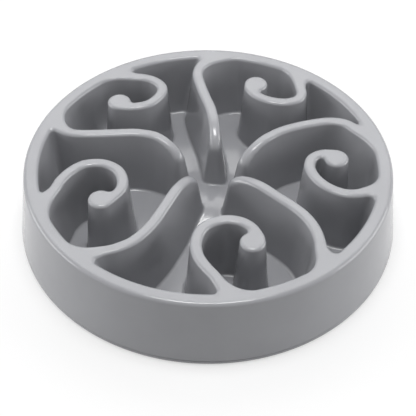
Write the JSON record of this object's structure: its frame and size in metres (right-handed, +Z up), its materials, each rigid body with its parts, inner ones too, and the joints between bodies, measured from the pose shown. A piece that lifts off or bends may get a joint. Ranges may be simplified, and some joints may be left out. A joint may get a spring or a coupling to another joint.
{
  "type": "slow feeder bowl",
  "caption": "Round slow feeder bowl whose maze of curls and stems spreads dry food, with a raised hub, a snap-in base cover and non-slip pads.",
  "frame": {"origin": "centre of the footprint, on the table", "axes": "+Z up out of the bowl, -Y towards the front that the picture shows, +X to its right"},
  "size_m": [0.262, 0.262, 0.052],
  "materials": {
    "bowl_plastic": "satin moulded grey plastic",
    "pad_rubber": "matte dark grey rubber"
  },
  "bodies": {
    "root": {"rim_wall": "bowl_plastic", "bowl_floor": "bowl_plastic", "hub": "bowl_plastic", "curl_right": "bowl_plastic", "curl_back_right": "bowl_plastic", "curl_back_left": "bowl_plastic", "curl_left": "bowl_plastic", "curl_front": "bowl_plastic", "stem_right": "bowl_plastic", "stem_back_right": "bowl_plastic", "stem_back_left": "bowl_plastic", "stem_left": "bowl_plastic", "stem_front": "bowl_plastic", "base_cover": "bowl_plastic", "pad_1": "pad_rubber", "pad_2": "pad_rubber", "pad_3": "pad_rubber", "pad_4": "pad_rubber", "pad_5": "pad_rubber", "pad_6": "pad_rubber"}
  },
  "joints": []
}
